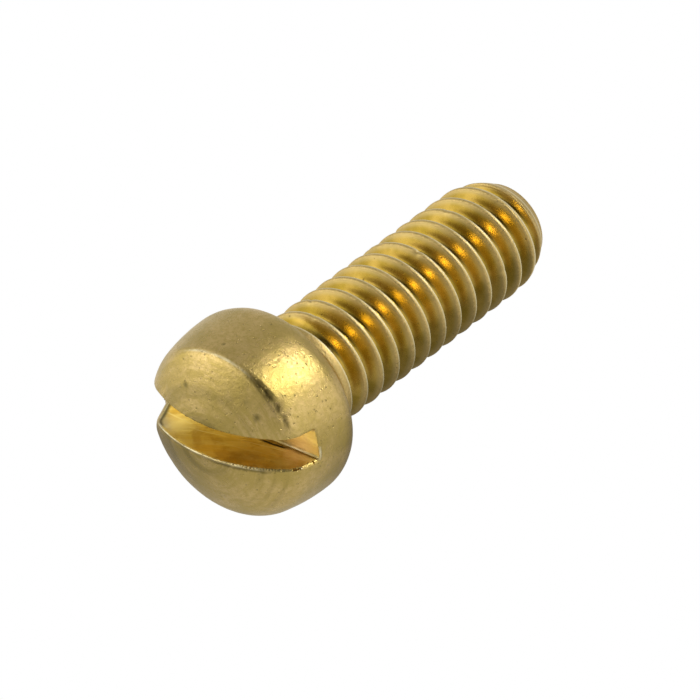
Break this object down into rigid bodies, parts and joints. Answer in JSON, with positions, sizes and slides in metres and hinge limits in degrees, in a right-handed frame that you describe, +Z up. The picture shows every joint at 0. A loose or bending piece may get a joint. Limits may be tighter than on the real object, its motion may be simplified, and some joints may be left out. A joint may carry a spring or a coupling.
{
  "type": "slotted fillister-head machine screw",
  "caption": "Brass machine screw with a domed, barrel-sided slotted head and a coarse thread that runs up to the head.",
  "frame": {"origin": "centre of the head's flat bearing face, on the screw's axis", "axes": "+Y along the axis from the head to the tip, driver slot along X, +Z up"},
  "size_m": [0.0102, 0.0248, 0.0102],
  "materials": {
    "brass": "satin, as barrel-tumbled"
  },
  "bodies": {
    "root": {"head": "brass", "threaded_shank": "brass", "point": "brass"}
  },
  "joints": []
}
